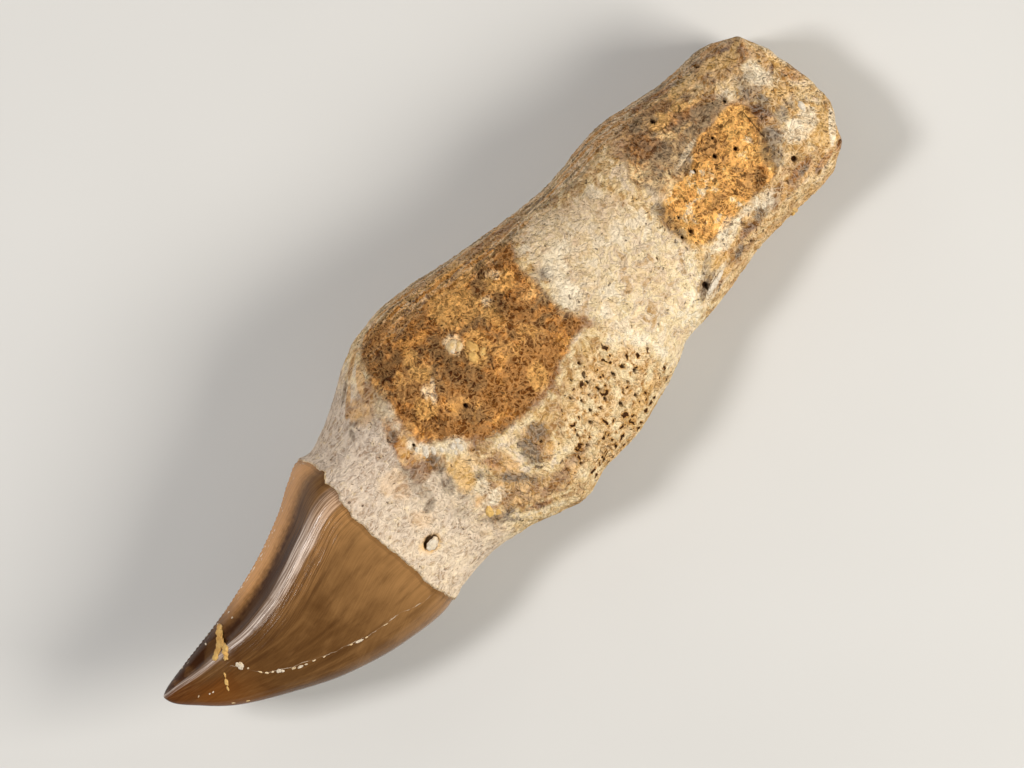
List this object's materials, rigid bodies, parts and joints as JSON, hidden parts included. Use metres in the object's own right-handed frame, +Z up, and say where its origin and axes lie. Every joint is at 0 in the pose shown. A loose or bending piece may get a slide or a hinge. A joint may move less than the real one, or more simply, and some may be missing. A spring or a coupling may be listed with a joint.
{
  "type": "fossil mosasaur tooth",
  "caption": "Curved, glossy enamel crown on a long swollen bone root with stained patches and pores. Lies on its side as a display fossil.",
  "frame": {"origin": "below the middle of the tooth, on the surface that it lies on", "axes": "+X from the crown's tip to the root's broken end, +Y towards the concave rear edge, +Z up"},
  "size_m": [0.12, 0.0374, 0.0265],
  "materials": {
    "bone": "dry, fibrous and porous fossil bone, cream and grey with rust and gold stained patches",
    "enamel": "glossy amber-brown enamel with fine lengthwise lines",
    "sediment": "dull, crumbly ochre and cream sediment"
  },
  "bodies": {
    "root": {"tooth": "bone"}
  },
  "joints": []
}
